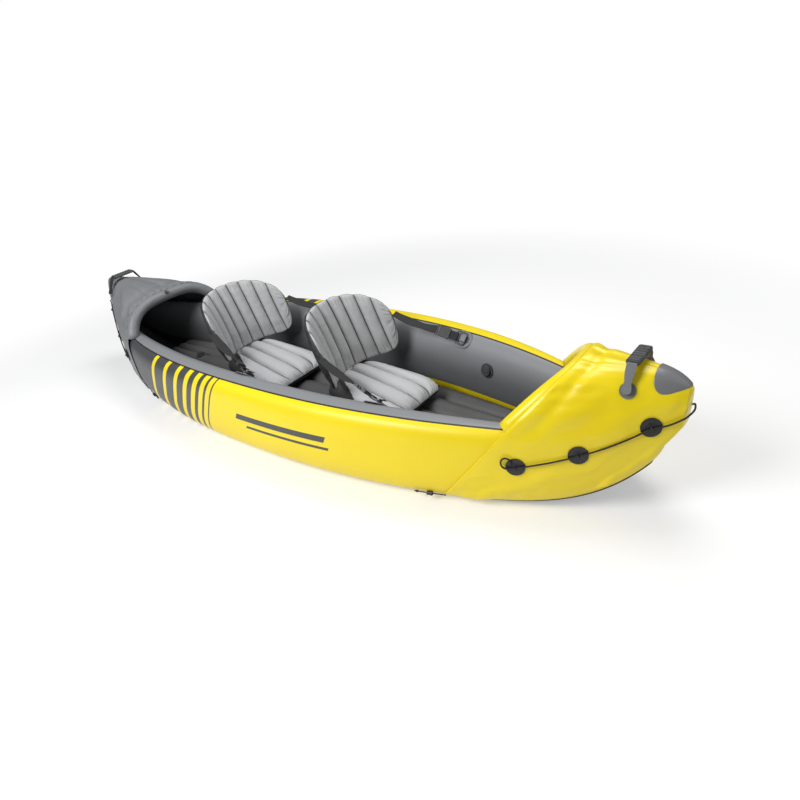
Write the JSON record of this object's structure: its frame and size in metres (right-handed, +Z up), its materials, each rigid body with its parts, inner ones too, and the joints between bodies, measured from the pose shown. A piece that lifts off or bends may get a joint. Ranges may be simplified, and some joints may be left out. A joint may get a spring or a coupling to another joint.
{
  "type": "inflatable tandem kayak",
  "caption": "Inflatable tandem kayak with oval side tubes, tubed floor, covered ends, channelled seats with reclining backrests, grab lines, carry handles and air valves.",
  "frame": {"origin": "middle of the overall box, on the ground under the flat bottom sheet", "axes": "+X to the bow, +Y to port, +Z up"},
  "size_m": [3.1198, 0.91, 0.52],
  "materials": {
    "yellow_vinyl": "smooth welded vinyl, yellow outside and grey inside",
    "cover_yellow": "glossy coated film",
    "cover_grey": "matt coated film",
    "dark_vinyl": "matt dark vinyl",
    "patch_grey": "welded vinyl patch",
    "black_plastic": "moulded plastic",
    "grip_plastic": "moulded plastic with ribs",
    "black_cord": "braided cord",
    "black_webbing": "woven webbing",
    "grey_webbing": "woven webbing",
    "seat_vinyl": "flocked light vinyl with welded channels"
  },
  "bodies": {
    "hull": {"tube_port": "yellow_vinyl", "tube_starboard": "yellow_vinyl", "bottom_sheet": "dark_vinyl", "bow_bottom": "dark_vinyl", "stern_bottom": "dark_vinyl", "floor": "dark_vinyl", "bow_cover": "cover_yellow", "stern_cover": "cover_grey", "bow_coaming": "cover_yellow", "stern_coaming": "cover_grey", "bow_nose_patch": "patch_grey", "stern_nose_patch": "patch_grey", "bow_guides": "black_plastic", "stern_guides": "black_plastic", "bow_grab_line": "black_cord", "stern_grab_line": "black_cord", "bow_drawcords": "black_cord", "stern_drawcords": "black_cord", "bow_handle_patches": "patch_grey", "stern_handle_patches": "patch_grey", "valve_port_base": "black_plastic", "valve_starboard_base": "black_plastic", "floor_valve_base": "black_plastic", "coaming_valve_base": "black_plastic", "front_pad": "seat_vinyl", "rear_pad": "seat_vinyl", "strap_anchors": "patch_grey", "strap_rings": "black_plastic", "ring_webbing": "black_webbing", "buckle_sockets": "black_plastic", "buckle_tongues": "black_plastic", "front_strap_port": "black_webbing", "front_strap_starboard": "black_webbing", "rear_strap_port": "black_webbing", "rear_strap_starboard": "black_webbing"},
    "front_back": {"front_backrest": "seat_vinyl"},
    "rear_back": {"rear_backrest": "seat_vinyl"},
    "bow_handle": {"bow_handle_strap": "grey_webbing", "bow_handle_grip": "grip_plastic"},
    "stern_handle": {"stern_handle_strap": "grey_webbing", "stern_handle_grip": "grip_plastic"},
    "port_cap": {"valve_port_cap": "black_plastic"},
    "starboard_cap": {"valve_starboard_cap": "black_plastic"},
    "floor_cap": {"floor_valve_cap": "black_plastic"},
    "coaming_plug": {"coaming_valve_plug": "black_plastic"},
    "bow_lock_port": {"lock_bow_port": "black_plastic"},
    "bow_lock_starboard": {"lock_bow_starboard": "black_plastic"},
    "stern_lock_port": {"lock_stern_port": "black_plastic"},
    "stern_lock_starboard": {"lock_stern_starboard": "black_plastic"}
  },
  "joints": [
    {"name": "front_back_recline", "type": "hinge", "parent": "hull", "child": "front_back", "pos_m": [0.20493, 0, 0.24403], "axis": [0, 1, 0], "range_deg": [-15, 10], "deforming": ["front_strap_port", "front_strap_starboard"]},
    {"name": "rear_back_recline", "type": "hinge", "parent": "hull", "child": "rear_back", "pos_m": [-0.45007, 0, 0.24403], "axis": [0, 1, 0], "range_deg": [-15, 10], "deforming": ["rear_strap_port", "rear_strap_starboard"]},
    {"name": "bow_handle_swing", "type": "hinge", "parent": "hull", "child": "bow_handle", "pos_m": [1.39482, 0, 0.44012], "axis": [0, 1, 0], "range_deg": [-8, 8]},
    {"name": "stern_handle_swing", "type": "hinge", "parent": "hull", "child": "stern_handle", "pos_m": [-1.39482, 0, 0.43976], "axis": [0, 1, 0], "range_deg": [-8, 8]},
    {"name": "port_cap_turn", "type": "hinge", "parent": "hull", "child": "port_cap", "pos_m": [0.73446, 0.21902, 0.21847], "axis": [-0.1655, -0.9663, 0.1972], "range_deg": [0, 180]},
    {"name": "starboard_cap_turn", "type": "hinge", "parent": "hull", "child": "starboard_cap", "pos_m": [0.73446, -0.21902, 0.21847], "axis": [-0.1655, 0.9663, 0.1972], "range_deg": [0, 180]},
    {"name": "floor_cap_turn", "type": "hinge", "parent": "hull", "child": "floor_cap", "pos_m": [-0.88339, 0, 0.10631], "axis": [0, 0, 1], "range_deg": [0, 180]},
    {"name": "coaming_plug_pull", "type": "slide", "parent": "hull", "child": "coaming_plug", "axis": [0.7508, 0, 0.6606], "range_m": [0, 0.008]},
    {"name": "bow_lock_port_slide", "type": "slide", "parent": "hull", "child": "bow_lock_port", "axis": [0.9688, -0.2479, -0.0033], "range_m": [-0.018, 0.018]},
    {"name": "bow_lock_starboard_slide", "type": "slide", "parent": "hull", "child": "bow_lock_starboard", "axis": [0.9688, 0.2479, -0.0033], "range_m": [-0.018, 0.018]},
    {"name": "stern_lock_port_slide", "type": "slide", "parent": "hull", "child": "stern_lock_port", "axis": [-0.961, -0.2764, -0.0006], "range_m": [-0.018, 0.018]},
    {"name": "stern_lock_starboard_slide", "type": "slide", "parent": "hull", "child": "stern_lock_starboard", "axis": [-0.961, 0.2764, -0.0006], "range_m": [-0.018, 0.018]}
  ]
}
